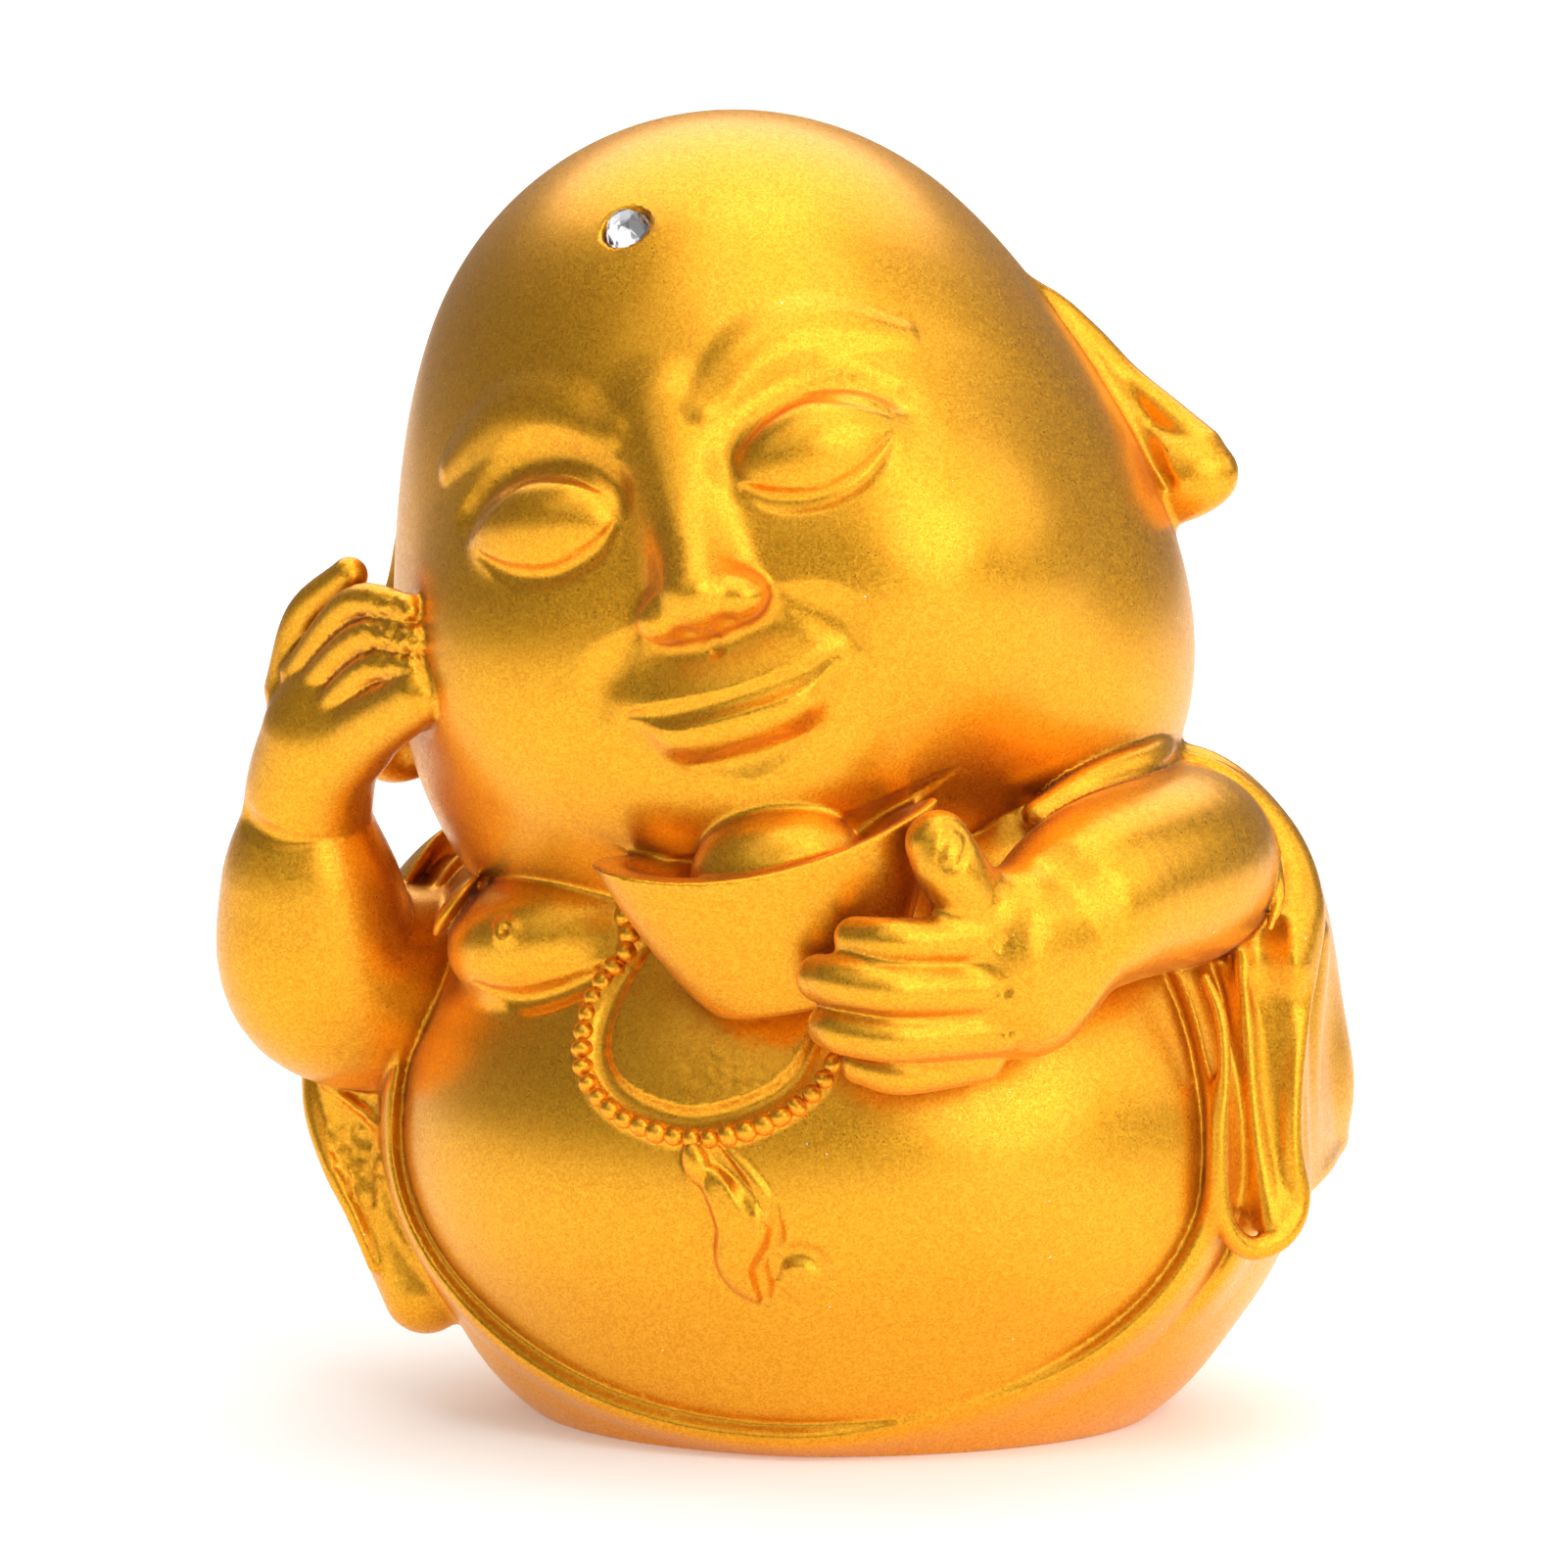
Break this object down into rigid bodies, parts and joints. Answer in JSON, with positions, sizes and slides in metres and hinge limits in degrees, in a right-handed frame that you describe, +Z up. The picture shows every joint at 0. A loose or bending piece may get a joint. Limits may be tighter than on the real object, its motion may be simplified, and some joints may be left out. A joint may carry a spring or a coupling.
{
  "type": "laughing buddha figurine",
  "caption": "Seated pot-bellied monk figurine in satin gold paint, one hand raised to the cheek and the other round a boat-shaped ingot, with a clear crystal on the forehead.",
  "frame": {"origin": "on the flat underside, under the middle of the belly", "axes": "+Z up, the figure faces -Y and its left hand is on the +X side"},
  "size_m": [0.0769, 0.0637, 0.0888],
  "materials": {
    "gold_paint": "satin pearl gold paint over cast resin",
    "clear_crystal": "clear cut glass with a silvered back"
  },
  "bodies": {
    "root": {"figure": "gold_paint", "forehead_crystal": "clear_crystal"}
  },
  "joints": []
}
